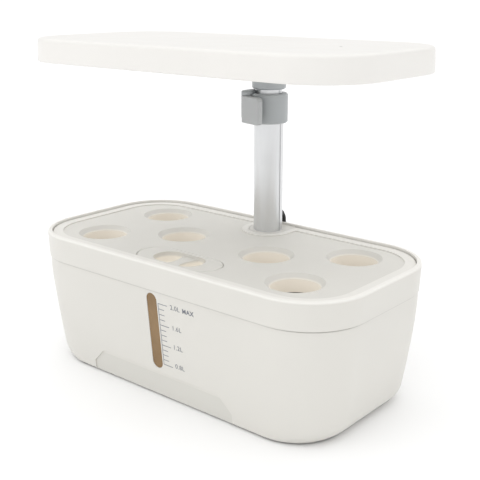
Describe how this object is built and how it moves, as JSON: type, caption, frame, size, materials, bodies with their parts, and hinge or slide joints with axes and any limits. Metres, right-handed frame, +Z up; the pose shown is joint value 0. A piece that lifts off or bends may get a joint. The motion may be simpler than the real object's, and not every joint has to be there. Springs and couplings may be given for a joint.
{
  "type": "countertop hydroponic garden",
  "caption": "Countertop hydroponic garden: tapered water tank, lift-off planting lid with filler hatch, and a flat grow lamp on a telescopic mast with a lever clamp.",
  "frame": {"origin": "on the table, under the centre of the tank and lamp", "axes": "+X along the tank to the right, +Y to the back where the mast stands, +Z up; the front with the water window faces -Y"},
  "size_m": [0.2746, 0.2012, 0.2368],
  "materials": {
    "white_shell": "satin",
    "white_lid": "fine texture",
    "white_lamp": "satin",
    "grey_plastic": "satin",
    "grey_rubber": "matte",
    "dark_rubber": "matte",
    "tinted_window": "clear tinted",
    "mast_tube": "satin anodised",
    "steel": "plain",
    "diffuser": "opal",
    "board_aluminium": "white solder mask",
    "led_yellow": "phosphor",
    "green_board": "solder mask",
    "black_lead": "matte",
    "black_plastic": "fine texture",
    "plug_brass": "plain"
  },
  "bodies": {
    "tank": {"tank_shell": "white_shell", "foot_pads": "grey_rubber", "window_lens": "tinted_window", "window_gasket": "dark_rubber", "outer_tube": "mast_tube", "clamp_collar": "grey_plastic", "clamp_shoe": "dark_rubber", "lever_pin": "steel", "strain_relief": "black_lead", "power_cord": "black_lead", "cord_coil": "black_lead", "cord_tie": "grey_rubber", "adapter_lead": "black_lead", "adapter_body": "black_plastic", "adapter_relief": "black_lead", "adapter_blades": "plug_brass"},
    "mast": {"inner_tube": "mast_tube", "guide_bush": "grey_plastic", "lamp_wire": "black_lead", "head_socket": "grey_plastic", "lamp_shell": "white_lamp", "lamp_base": "white_lamp", "light_panel": "diffuser", "led_board": "board_aluminium", "led_chips": "led_yellow", "control_board": "green_board", "status_light": "diffuser", "board_screws": "steel", "base_screws": "steel"},
    "lever": {"cam_lever": "grey_plastic"},
    "lid": {"lid": "white_lid"},
    "hatch": {"hatch": "white_lid"}
  },
  "joints": [
    {"name": "lamp_height", "type": "slide", "parent": "tank", "child": "mast", "axis": [0, 0, 1], "range_m": [0, 0.1]},
    {"name": "clamp_lever", "type": "hinge", "parent": "tank", "child": "lever", "pos_m": [-0.009, 0.03541, 0.1873], "axis": [0, 0, -1], "range_deg": [0, 120]},
    {"name": "lid_lift", "type": "slide", "parent": "tank", "child": "lid", "axis": [0, 0, 1], "range_m": [0, 0.06]},
    {"name": "hatch_lift", "type": "slide", "parent": "lid", "child": "hatch", "axis": [0, 0, 1], "range_m": [0, 0.04]}
  ]
}
